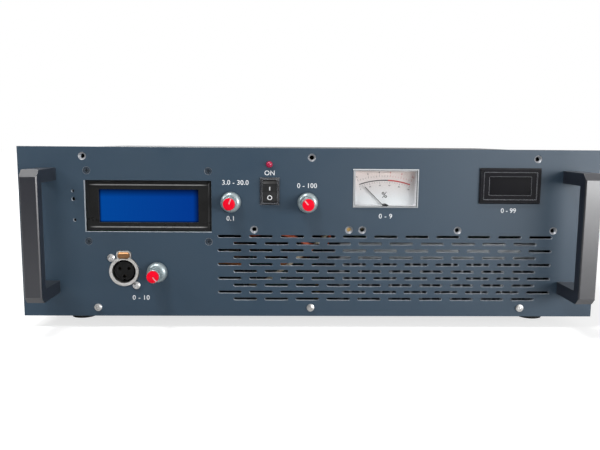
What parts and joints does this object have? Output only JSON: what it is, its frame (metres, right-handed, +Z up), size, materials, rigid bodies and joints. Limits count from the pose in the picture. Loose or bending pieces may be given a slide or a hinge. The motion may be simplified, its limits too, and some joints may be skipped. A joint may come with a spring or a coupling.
{
  "type": "shortwave transmitter",
  "caption": "Desk-top shortwave transmitter: wide vented metal case with C-handles, character display, needle meter, knobs, rocker switch, audio socket and a fan-cooled heat sink.",
  "frame": {"origin": "on the ground between the four feet, under the middle of the overall box", "axes": "+X to the right seen from the front, +Y towards the rear, +Z up; the front panel faces -Y"},
  "size_m": [0.45, 0.38, 0.1425],
  "materials": {
    "panel_paint": "fine satin enamel",
    "case_paint": "fine textured powder coat",
    "bright_steel": "bright plated",
    "dark_screw": "painted over",
    "foot_rubber": "matt",
    "handle_black": "satin black",
    "bezel_black": "matt black",
    "display_blue": "lit from behind",
    "board_green": "solder resist",
    "brass": "plain",
    "nickel": "satin nickel",
    "black_plastic": "fine moulded grain",
    "tab_bronze": "worn bronze",
    "knob_grey": "satin",
    "cap_red": "semi-gloss",
    "lamp_red": "diffused",
    "meter_clear": "clear",
    "dial_white": "printed",
    "needle_black": "painted",
    "window_dark": "smoked",
    "sink_aluminium": "mill finish",
    "coil_copper": "enamelled wire",
    "core_iron": "varnished",
    "wire_red": "insulated wire",
    "wire_cream": "insulated wire",
    "socket_white": "fluoropolymer"
  },
  "bodies": {
    "case": {"front_panel": "panel_paint", "base_plate": "case_paint", "top_cover": "case_paint", "side_left": "case_paint", "side_right": "case_paint", "rear_panel": "case_paint", "case_screws": "bright_steel", "feet": "foot_rubber", "handle_left": "handle_black", "handle_right": "handle_black", "lcd_bezel": "bezel_black", "lcd_glass": "display_blue", "lcd_board": "board_green", "lcd_spacers": "brass", "lcd_screws": "dark_screw", "xlr_shell": "nickel", "xlr_insert": "black_plastic", "xlr_contacts": "brass", "audio_pot": "nickel", "power_pot": "nickel", "frequency_encoder": "nickel", "switch_body": "black_plastic", "transmit_lamp": "lamp_red", "meter_case": "black_plastic", "meter_cover": "meter_clear", "meter_dial": "dial_white", "meter_hub_cover": "black_plastic", "thermometer_case": "black_plastic", "thermometer_window": "window_dark", "heat_sink": "sink_aluminium", "amplifier_board": "board_green", "amplifier_parts": "black_plastic", "circuit_boards": "board_green", "board_standoffs": "brass", "board_parts": "black_plastic", "filter_coils": "coil_copper", "modulation_transformer": "core_iron", "power_supply": "sink_aluminium", "red_wires": "wire_red", "cream_wire": "wire_cream", "fan_frame": "black_plastic", "fan_guard": "bright_steel", "mains_inlet": "black_plastic", "mains_pins": "nickel", "rf_socket": "nickel", "rf_core": "socket_white"},
    "audio_knob": {"audio_shaft": "bright_steel", "audio_knob": "knob_grey", "audio_cap": "cap_red"},
    "power_knob": {"power_shaft": "bright_steel", "power_knob": "knob_grey", "power_cap": "cap_red"},
    "frequency_rotor": {"frequency_rotor": "brass"},
    "frequency_knob": {"frequency_shaft": "bright_steel", "frequency_knob": "knob_grey", "frequency_cap": "cap_red"},
    "rocker": {"switch_rocker": "black_plastic"},
    "push_tab": {"xlr_latch": "tab_bronze"},
    "needle": {"meter_needle": "needle_black"},
    "fan_rotor": {"fan_rotor": "black_plastic"}
  },
  "joints": [
    {"name": "audio_turn", "type": "hinge", "parent": "case", "child": "audio_knob", "pos_m": [-0.1201, -0.151, 0.0453], "axis": [0, 1, 0], "range_deg": [-290, 10]},
    {"name": "power_turn", "type": "hinge", "parent": "case", "child": "power_knob", "pos_m": [-0.003, -0.151, 0.1005], "axis": [0, 1, 0], "range_deg": [-110, 190]},
    {"name": "frequency_turn", "type": "hinge", "parent": "case", "child": "frequency_rotor", "pos_m": [-0.0624, -0.151, 0.1007], "axis": [0, 1, 0], "continuous": true},
    {"name": "frequency_push", "type": "slide", "parent": "frequency_rotor", "child": "frequency_knob", "axis": [0, 1, 0], "range_m": [0, 0.0005], "stiffness_N_per_m": 4000},
    {"name": "rocker_tip", "type": "hinge", "parent": "case", "child": "rocker", "pos_m": [-0.0324, -0.1496, 0.1092], "axis": [-1, 0, 0], "range_deg": [0, 20]},
    {"name": "tab_push", "type": "slide", "parent": "case", "child": "push_tab", "axis": [0, 1, 0], "range_m": [0, 0.0015], "stiffness_N_per_m": 800},
    {"name": "needle_swing", "type": "hinge", "parent": "case", "child": "needle", "pos_m": [0.0577, -0.1456, 0.097], "axis": [0, 1, 0], "range_deg": [0, 90], "stiffness_Nm_per_rad": 0.00002, "springref_deg": -28.65},
    {"name": "fan_spin", "type": "hinge", "parent": "case", "child": "fan_rotor", "pos_m": [0.108, 0.15, 0.076], "axis": [0, 1, 0], "continuous": true}
  ]
}
